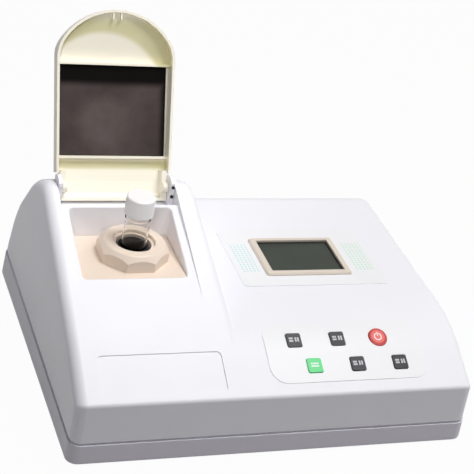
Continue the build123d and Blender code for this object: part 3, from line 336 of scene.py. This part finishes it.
# %% Distances in the lid
LID_LEAN = radians(25)
pad_low, pad_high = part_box("lid_foam_pad")
pad_middle = (Vector(pad_low) + Vector(pad_high)) / 2


def lid_distances(finish):
    """Across runs along x; up the slope, and out of the plane, mix y and z by the lean's sine and cosine."""
    x, y, z = finish.axes()
    back, height = y - pad_middle.y, z - pad_middle.z
    rise = back * sin(LID_LEAN) + height * cos(LID_LEAN)
    out = height * sin(LID_LEAN) - back * cos(LID_LEAN)
    return x - pad_middle.x, rise, out


print("pad's middle", [round(v, 4) for v in pad_middle])

# %% [markdown]
# ## The lid's plastic and its painted shade
# The lid is cream. Inside it an olive painted shade stands for the shadow that the rim
# casts into the tip, beyond a circle that runs close to its rim, and for the shade in a
# narrow band under the lower rib. Both are masks made of the distances in the lid's
# plane. The distance out of the plane keeps the painted shade off the rim's edge. The
# way a surface faces keeps it off the outside: the floor of the lid faces out of the
# plane, and the inner walls face the lit circle's middle.

# %% Lid plastic
LIT_CIRCLE_CENTRE = (-0.0098, 0.010)
LIT_CIRCLE_RADIUS = 0.0563
TIP_START = 0.038
BAND_MIDDLE, BAND_HALF = -0.0463, 0.0037
RIM_EDGE = 0.0055

cream = moulded_plastic("cream_plastic", (250, 245, 231), (247, 240, 222), 0.4, 0.00003, grain=2200)
across, rise, out = lid_distances(cream)
from_centre = (across - LIT_CIRCLE_CENTRE[0], rise - LIT_CIRCLE_CENTRE[1])
rim_shadow_in_tip = reach(*from_centre).above(LIT_CIRCLE_RADIUS, 0.003) * rise.above(TIP_START, 0.001)
lower_rib_shade = (rise - BAND_MIDDLE).size().below(BAND_HALF, 0.002)
facing_x, facing_y, facing_z = cream.facing()
facing_out = facing_z * sin(LID_LEAN) - facing_y * cos(LID_LEAN)
facing_up = facing_y * sin(LID_LEAN) + facing_z * cos(LID_LEAN)
towards_centre = (facing_x * from_centre[0] + facing_up * from_centre[1]).below(-0.02, 0.005)
inside = facing_out.above(0.5, 0.1).at_least(towards_centre) * out.below(RIM_EDGE, 0.0015)
uneven = cream.noise(30, 3) * 0.3 + 0.75
# Olive painted shade: the rim's shadow in the tip and the shade under the lower rib.
cream.lay_over(rim_shadow_in_tip.at_least(lower_rib_shade) * inside * uneven, linear(216, 210, 164))
wear(cream, ["lid_shell"])

# %% [markdown]
# ## Floor and room
# The floor is one wide flat sheet. To the camera, and in reflections and through the
# glass, it shines as white as the photo's background. To every other ray it is a
# middle grey, because the light that a white floor throws up would wash out the sides.
# The room does the same: it looks white and lights the object dimly. A Light Path node
# tells which kind of ray asks.

# %% Floor
FLOOR_HALF = 4
FLOOR_GLOW = 0.97
corners = [(-FLOOR_HALF, -FLOOR_HALF, 0), (FLOOR_HALF, -FLOOR_HALF, 0),
           (FLOOR_HALF, FLOOR_HALF, 0), (-FLOOR_HALF, FLOOR_HALF, 0)]
floor_mesh = bpy.data.meshes.new("floor")
floor_mesh.from_pydata(corners, [], [(0, 1, 2, 3)])
floor = put_in_scene("floor", floor_mesh)
paper = Finish("floor_paper", Specular_IOR_Level=0.1, Roughness=0.9)
paper.shader.inputs["Base Color"].default_value = (0.4, 0.4, 0.41, 1)
rays = paper.node("ShaderNodeLightPath", {}, {}).socket.node
kinds = ("Is Camera Ray", "Is Glossy Ray", "Is Transmission Ray")
camera_ray, glossy_ray, passing_ray = (Value(paper, rays.outputs[kind]) for kind in kinds)
seen = camera_ray.at_least(glossy_ray).at_least(passing_ray)
glow = paper.node("ShaderNodeEmission", {}, {"Color": (1, 1, 1, 1), "Strength": 1.0})
plain = Value(paper, paper.shader.outputs[0])
blend = paper.node("ShaderNodeMixShader", {}, {0: seen * FLOOR_GLOW, 1: plain, 2: glow})
paper.tree.links.new(blend.socket, paper.tree.nodes["Material Output"].inputs["Surface"])
floor_mesh.materials.append(paper.material)
print("floor", 2 * FLOOR_HALF, "m wide")

# %% Room
ROOM_LIGHT = 0.23
room = bpy.data.worlds.new("room")
room.use_nodes = True
tree = room.node_tree
rays = tree.nodes.new("ShaderNodeLightPath")
seen = tree.nodes.new("ShaderNodeMath")
seen.operation = "MAXIMUM"
tree.links.new(rays.outputs["Is Camera Ray"], seen.inputs[0])
tree.links.new(rays.outputs["Is Transmission Ray"], seen.inputs[1])
brightness = tree.nodes.new("ShaderNodeMapRange")
brightness.inputs["To Min"].default_value = ROOM_LIGHT
brightness.inputs["To Max"].default_value = 1.0
tree.links.new(seen.outputs[0], brightness.inputs["Value"])
backdrop = tree.nodes["Background"]
backdrop.inputs["Color"].default_value = (1, 1, 1, 1)
tree.links.new(brightness.outputs[0], backdrop.inputs["Strength"])
bpy.context.scene.world = room
bpy.context.scene.view_settings.view_transform = "Standard"
print("room at", ROOM_LIGHT)

# %% [markdown]
# ## Rubber, steel and boards
# The feet are dull black rubber. The screws, pins and spring are plated steel with fine
# drawing lines. The boards inside are green resist over copper tracks, which a brick
# pattern of thin lines suggests well enough. The hinge screws are black on the right
# bracket, and on the left one their heads don't show in the photo, so there they have
# the housing's colour.

# %% Rubber and resin
rubber = moulded_plastic("foot_rubber", (30, 30, 31), (42, 41, 41), 0.75, 0.00005, grain=1500)
resin = moulded_plastic("component_resin", (24, 24, 26), (38, 38, 40), 0.55, 0.00003)
wear(rubber, ["rubber_feet"])
wear(resin, ["key_switches", "board_chips"])

# %% Steel
steel = Finish("plated_steel", Metallic=1.0)
drawn = steel.noise(3000, 4, 0.7)
steel.feed("Base Color", steel.mix(steel.noise(60), linear(196, 196, 200), linear(170, 170, 176)))
steel.feed("Roughness", drawn * 0.2 + 0.22)
steel.bump(drawn, 0.00002)
wear(steel, ["base_screws", "hinge_pins", "board_screws", "data_port"])

# %% Hinge screws
PAINTED_WIDTH = 0.02
screw = moulded_plastic("dark_screw", (40, 38, 38), (60, 57, 55), 0.4, 0.00002)
x, _, _ = screw.axes()
on_the_left = x.below(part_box("lid_shell")[0][0] + PAINTED_WIDTH, 0.001)
screw.lay_over(on_the_left, linear(236, 236, 240))
wear(screw, ["hinge_screws"])

# %% Circuit boards
board = Finish("green_board", Coat_Weight=0.4, Coat_Roughness=0.2, Roughness=0.5)
RESIST, TRACK = (0, 0, 0, 1), (1, 1, 1, 1)
pattern = {"Vector": board.place, "Scale": 130.0, "Mortar Size": 0.06,
           "Color1": RESIST, "Color2": RESIST, "Mortar": TRACK}
tracks = board.node("ShaderNodeTexBrick", {"offset": 0.5}, pattern)
board.feed("Base Color", board.mix(tracks, linear(14, 84, 48), linear(30, 112, 66)))
board.bump(tracks, 0.00005)
wear(board, ["detector_board", "display_board", "keypad_board", "main_board", "power_module"])

# %% [markdown]
# ## The lift spring
# Closing the lid presses the vial and its sleeve down on a coil spring. The solid of
# the spring can't shorten, so it would cut through the sleeve as that sinks. This coil
# takes its place: a circle carried along a helix, as one array of points.

# %% Lift spring
COIL_TURNS, COIL_WIRE = 7, 0.0008
STEPS_IN_A_TURN, COIL_SIDES = 40, 12
SLEEVE_DROP = 0.0384
coil_low, coil_high = (np.array(corner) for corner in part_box("lift_spring"))
coil_axis = (coil_low + coil_high) / 2
coil_radius = (coil_high[0] - coil_low[0]) / 2 - COIL_WIRE
coil_length = float(coil_high[2] - coil_low[2])


def coil(steps, sides):
    """A tube along a helix: each ring leaves its centre outwards and upwards by a cosine and a sine."""
    angles = np.arange(sides) * 2 * pi / sides
    along, around = np.meshgrid(np.linspace(0, 1, steps), angles, indexing="ij")
    turn = along * COIL_TURNS * 2 * pi
    outwards = coil_radius + COIL_WIRE * np.cos(around)
    height = coil_low[2] + COIL_WIRE + along * (coil_length - 2 * COIL_WIRE)
    return np.stack([coil_axis[0] + outwards * np.cos(turn), coil_axis[1] + outwards * np.sin(turn),
                     height + COIL_WIRE * np.sin(around)], -1)


def tube_faces(steps, sides):
    """Quads between neighbouring rings, and one face over each end."""
    index = np.arange(steps * sides).reshape(steps, sides)
    beside = np.roll(index, -1, axis=1)
    quads = np.stack([index[:-1], index[1:], beside[1:], beside[:-1]], -1).reshape(-1, 4)
    return quads.tolist() + [index[0].tolist(), index[-1, ::-1].tolist()]


def smooth_piece(name, points, faces, finish):
    """A piece of smooth faces on an array of points, in one finish."""
    mesh = bpy.data.meshes.new(name)
    mesh.from_pydata(points.reshape(-1, 3).tolist(), [], faces)
    mesh.shade_smooth()
    mesh.materials.append(finish.material)
    return put_in_scene(name, mesh)


coil_steps = COIL_TURNS * STEPS_IN_A_TURN + 1
coil_points = coil(coil_steps, COIL_SIDES)
sleeve_coil = smooth_piece("sleeve_coil", coil_points, tube_faces(coil_steps, COIL_SIDES), steel)
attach(sleeve_coil, "housing")
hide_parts("lift_spring")
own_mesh(sleeve_coil)
shortest = coil_length - SLEEVE_DROP
print("coil", round(coil_length * 1000, 1), "mm long, kept", round(shortest * 1000, 1), "mm")

# %% [markdown]
# ## Glass and the sample
# Glass and liquid are clear all through, so they are one Principled shader each with
# full transmission. A faint smear in the roughness keeps the glass from looking empty.
# The vial and the liquid bend light less than real ones do, because their bright
# reflections would turn the dark hole behind them grey.

# %% Glass and the sample
def clear(name, colour, ior, smear):
    """A clear solid with an uneven smear on its surface."""
    glass = Finish(name, Transmission_Weight=1.0, IOR=ior)
    patchy = glass.noise(70, 3)
    glass.feed("Base Color", glass.mix(patchy, colour, tuple(0.97 * v for v in colour)))
    glass.feed("Roughness", patchy * smear)
    return glass


vial_glass = clear("vial_glass", (0.93, 0.93, 0.92), 1.22, 0.03)
window_glass = clear("window_glass", (0.93, 0.95, 0.93), 1.46, 0.05)
lens_glass = clear("lens_glass", (0.95, 0.97, 1.0), 1.52, 0.02)
sample = clear("sample_liquid", (0.5, 0.38, 0.40), 1.2, 0.02)
wear(vial_glass, ["vial_glass"])
wear(window_glass, ["display_window"])
wear(lens_glass, ["source_lens", "optical_filter"])
wear(sample, ["vial_sample"])

# %% [markdown]
# ## The display
# The display is off in the photo: a grey-green liquid crystal face with the faint grid
# of its unlit segments, and a dark band at its edge that is painted shade of the bezel.
# The grid is where the place, counted in segments, has hardly any fraction left; the
# painted shade is where the distance to the panel's nearest side is small.

# %% Display face
SEGMENTS_TO_THE_METRE = 2600
BEZEL_SHADE_WIDTH = 0.0028
lcd = Finish("lcd_face", Roughness=0.3, Specular_IOR_Level=0.5)
panel_low, panel_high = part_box("lcd_panel")
x, y, _ = lcd.axes()
past_side = [
    (place - (low + high) / 2).size() - (high - low) / 2
    for place, low, high in zip((x, y), panel_low, panel_high)
]
to_next = [(place * SEGMENTS_TO_THE_METRE).math("FRACT") for place in (x, y)]
lcd.feed("Base Color", lcd.mix(lcd.noise(25, 3), linear(92, 100, 90), linear(104, 112, 100)))
lcd.lay_over(to_next[0].at_most(to_next[1]).below(0.1, 0.05) * 0.10, linear(60, 62, 56))
# Painted shade of the bezel: a dark band along the face's edge.
lcd.lay_over(past_side[0].at_least(past_side[1]).above(-BEZEL_SHADE_WIDTH, 0.0003), linear(48, 36, 32))
wear(lcd, ["lcd_panel"])

# %% [markdown]
# ## Printed sheets
# The pale sheets round the display and the keys are printed film. Two blocks of small
# dots, cyan on the left and green on the right, flank the display. A dot is where the
# distance to the nearest point of a square lattice is small, and a block reaches from
# near the sheet's edge to near the bezel.

# %% Printed sheets
DOT_PITCH = 0.0034
DOT_RADIUS_IN_PITCHES = 0.24
FRONT_INSET, BACK_INSET = 0.00707, 0.00844
film = Finish("printed_film", Specular_IOR_Level=0.45)
x, y, _ = film.axes()
from_lattice = [((place / DOT_PITCH).math("FRACT") - 0.5).size() for place in (x, y)]
dots = reach(*from_lattice).below(DOT_RADIUS_IN_PITCHES, 0.1)
sheet_low, sheet_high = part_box("display_overlay")
bezel_low, bezel_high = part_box("display_bezel")


def dot_block(left, right):
    """Dots between two places across the sheet, and about as far up it as the display."""
    front, back = bezel_low[1] + FRONT_INSET, bezel_high[1] - BACK_INSET
    across = (x - (left + right) / 2).size().below((right - left) / 2, 0.0001)
    along = (y - (front + back) / 2).size().below((back - front) / 2, 0.0001)
    return dots * across * along


film.feed("Base Color", film.mix(film.noise(12, 3), linear(240, 240, 243), linear(245, 245, 247)))
film.lay_over(dot_block(sheet_low[0] + 0.0055, bezel_low[0] - 0.00445), linear(176, 228, 228))
film.lay_over(dot_block(bezel_high[0] + 0.00555, sheet_high[0] - 0.0058), linear(184, 232, 196))
film.feed("Roughness", film.noise(18, 4) * 0.14 + 0.3)
film.bump(film.noise(900, 2), 0.00002)
wear(film, ["display_overlay", "keypad_overlay"])

# %% [markdown]
# ## Keys
# Five square keys and one round one stand just proud of the film, moulded in colour.
# The round key carries the usual power mark, a ring that is open at the top with a bar
# in the gap, on a paler disc. The square ones carry plain marks: two bars on the green
# key, and on the dark ones two small squares, one slit across and one slit upwards. A
# mark is drawn in the key's own plane: u across, and v up the slope, worked out from y
# and z.

# %% Key plastic and marks
KEY_TILT = radians(26.055)
SOFT_PRINT = 0.00012


def key_plastic(name, node, colour, tint):
    """Satin plastic, and how far a point of the key's face is across and up from its middle."""
    plastic = moulded_plastic(name, colour, tint, 0.4, 0.00002)
    middle = (Vector(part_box(node)[0]) + Vector(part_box(node)[1])) / 2
    x, y, z = plastic.axes()
    return plastic, x - middle.x, (y - middle.y) * cos(KEY_TILT) + (z - middle.z) * sin(KEY_TILT)


def bar(u, v, u0, v0, half_u, half_v):
    """1 inside an upright rectangle on the key's face, given by its middle and its half sides."""
    return (u - u0).size().below(half_u, SOFT_PRINT) * (v - v0).size().below(half_v, SOFT_PRINT)


# %% Power key
DISC_RADIUS = 0.0062
RING_RADIUS, RING_HALF_LINE = 0.0031, 0.0005
GAP_HALF = 0.0012
POWER_BAR = (0, 0.0024, 0.00045, 0.0018)
WHITE_INK = linear(245, 245, 245)
red, u, v = key_plastic("red_key_plastic", "power_button", (200, 44, 44), (190, 38, 40))
from_middle = reach(u, v)
red.lay_over(from_middle.below(DISC_RADIUS, 0.0004), linear(238, 104, 94))
ring = (from_middle - RING_RADIUS).size().below(RING_HALF_LINE, 0.00015)
opening = u.size().below(GAP_HALF, 0.0001) * v.above(0.0, 0.0002)
red.lay_over((ring * (1 - opening)).at_least(bar(u, v, *POWER_BAR)), WHITE_INK)
wear(red, ["power_button"])

# %% Square keys
BAR_UP, BAR_HALVES = 0.0012, (0.0034, 0.0006)
SQUARE_ACROSS, SQUARE_HALVES = 0.0026, (0.0018, 0.0020)
SLIT_LONG, SLIT_THICK = 0.0030, 0.00035
green, u, v = key_plastic("green_key_plastic", "key_green", (108, 230, 148), (98, 224, 138))
upper_bar, lower_bar = (bar(u, v, 0, v0, *BAR_HALVES) for v0 in (BAR_UP, -BAR_UP))
green.lay_over(upper_bar.at_least(lower_bar), WHITE_INK)
wear(green, ["key_green"])

for node in ("key_back_left", "key_back_middle", "key_front_middle", "key_front_right"):
    dark, u, v = key_plastic("dark_" + node, node, (26, 25, 31), (32, 31, 37))
    left_square, right_square = (bar(u, v, u0, 0, *SQUARE_HALVES) for u0 in (-SQUARE_ACROSS, SQUARE_ACROSS))
    slit_across = bar(u, v, -SQUARE_ACROSS, 0, SLIT_LONG, SLIT_THICK)
    slit_upwards = bar(u, v, SQUARE_ACROSS, 0, SLIT_THICK, SLIT_LONG)
    squares = left_square.at_least(right_square) * (1 - slit_across.at_least(slit_upwards))
    dark.lay_over(squares, linear(196, 196, 202))
    wear(dark, [node])

# %% [markdown]
# ## The foam
# A pad of dark closed-cell foam is stuck inside the lid so that no light leaks in. Its
# open part is greyed by handling, most of all where the cap comes near; under the upper
# rib and along the right wall the shadows of the rib and the wall are painted black on it.
# The cells are the walls between the seeds of a Voronoi pattern, less than a millimetre apart.

# %% Foam
PAD_THICKNESS = 0.003
PAD_HALF_WIDTH = (pad_high[0] - pad_low[0]) / 2
PAD_HALF_LENGTH = ((pad_high[2] - pad_low[2]) - PAD_THICKNESS * sin(LID_LEAN)) / 2 / cos(LID_LEAN)
CELLS_TO_THE_METRE = 1300
RIB_SHADOW_LENGTH, WALL_SHADOW_WIDTH = 0.016, 0.004
RUBBED_CENTRE, RUBBED_RADIUS = (-0.008, -0.010), 0.022

foam = Finish("pad_foam", Specular_IOR_Level=0.1)
across, rise, _ = lid_distances(foam)
# Painted shade: the upper rib's shadow and the right wall's shadow on the pad.
rib_shadow_on_pad = rise.above(PAD_HALF_LENGTH - RIB_SHADOW_LENGTH, 0.004)
painted_shade_on_pad = rib_shadow_on_pad.at_least(across.above(PAD_HALF_WIDTH - WALL_SHADOW_WIDTH, 0.004))
from_rubbed = reach(across - RUBBED_CENTRE[0], rise - RUBBED_CENTRE[1])
rubbed = from_rubbed.below(RUBBED_RADIUS, 0.008) * foam.noise(30, 3, 0.6)
dust_and_shade = (foam.noise(22, 4, 0.6) * 0.7 + 0.08 + rubbed * 0.45) * (1 - painted_shade_on_pad)
# The black is the foam's own colour and, under the rib and beside the wall, painted shade.
foam.feed("Base Color", foam.mix(dust_and_shade, linear(12, 9, 7), linear(108, 96, 94)))
foam.feed("Roughness", foam.noise(40, 3) * 0.15 + 0.78)
cell = {"Vector": foam.place, "Scale": CELLS_TO_THE_METRE}
foam.bump(foam.node("ShaderNodeTexVoronoi", {"feature": "DISTANCE_TO_EDGE"}, cell), 0.00025, 0.6)
print("pad", round(PAD_HALF_WIDTH * 2000, 1), "by", round(PAD_HALF_LENGTH * 2000, 1), "mm")

# %% [markdown]
# ## The pad
# The pad's face is slightly crowned, and its edge is rounded where the knife and the
# glue draw it in. It is made as a height over a grid in the pad's own plane, and closed
# with a flat back and a strip round the edge. The grid's lines stand closer near the
# edge, where the height changes fast.

# %% Foam pad
PAD_COLUMNS, PAD_ROWS = 120, 110
EDGE_ROUND = 0.0012
CROWN, RIPPLE = 0.0002, 0.00008
FACE_SUNK = 0.0003


def pad_face(columns, rows):
    """A crowned face: the edge falls as a quarter circle, the middle swells by a cosine, sines ripple it."""
    a, b = np.meshgrid(np.linspace(-pi / 2, pi / 2, columns), np.linspace(-pi / 2, pi / 2, rows))
    a, b = np.sin(a), np.sin(b)
    u, v = a * PAD_HALF_WIDTH, b * PAD_HALF_LENGTH
    inset = np.minimum(PAD_HALF_WIDTH - np.abs(u), PAD_HALF_LENGTH - np.abs(v))
    fall = EDGE_ROUND - np.sqrt(EDGE_ROUND**2 - np.maximum(0, EDGE_ROUND - inset) ** 2)
    crown = CROWN * np.cos(a * pi / 2) * np.cos(b * pi / 2)
    ripple = RIPPLE * np.sin(u * 190 + 2 * np.sin(v * 90)) * np.sin(v * 150)
    flat = fall < 1e-6
    return u, v, PAD_THICKNESS / 2 - FACE_SUNK + crown + ripple * flat - fall


def closed_slab(rows, columns):
    """Faces of a front grid, the same grid behind it facing backwards, and a strip round both."""
    index = np.arange(rows * columns).reshape(rows, columns)
    quads = np.stack([index[:-1, :-1], index[:-1, 1:], index[1:, 1:], index[1:, :-1]], -1).reshape(-1, 4)
    rim = np.concatenate([index[0, :-1], index[:-1, -1], index[-1, :0:-1], index[:0:-1, 0]])
    after = np.roll(rim, -1)
    strip = np.stack([rim, rim + index.size, after + index.size, after], -1)
    return np.concatenate([quads, quads[:, ::-1] + index.size, strip])


u, v, height = pad_face(PAD_COLUMNS, PAD_ROWS)
front = np.stack([u, v, height], -1).reshape(-1, 3)
back = np.stack([u, v, np.full_like(u, -PAD_THICKNESS / 2)], -1).reshape(-1, 3)
pad_axes = np.array([(1, 0, 0), (0, sin(LID_LEAN), cos(LID_LEAN)), (0, -cos(LID_LEAN), sin(LID_LEAN))])
points = np.concatenate([front, back]) @ pad_axes + np.array(pad_middle)
pad = smooth_piece("lid_pad", points, closed_slab(*u.shape).tolist(), foam)
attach(pad, "lid")
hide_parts("lid_foam_pad")
print("pad of", len(pad.data.polygons), "faces")
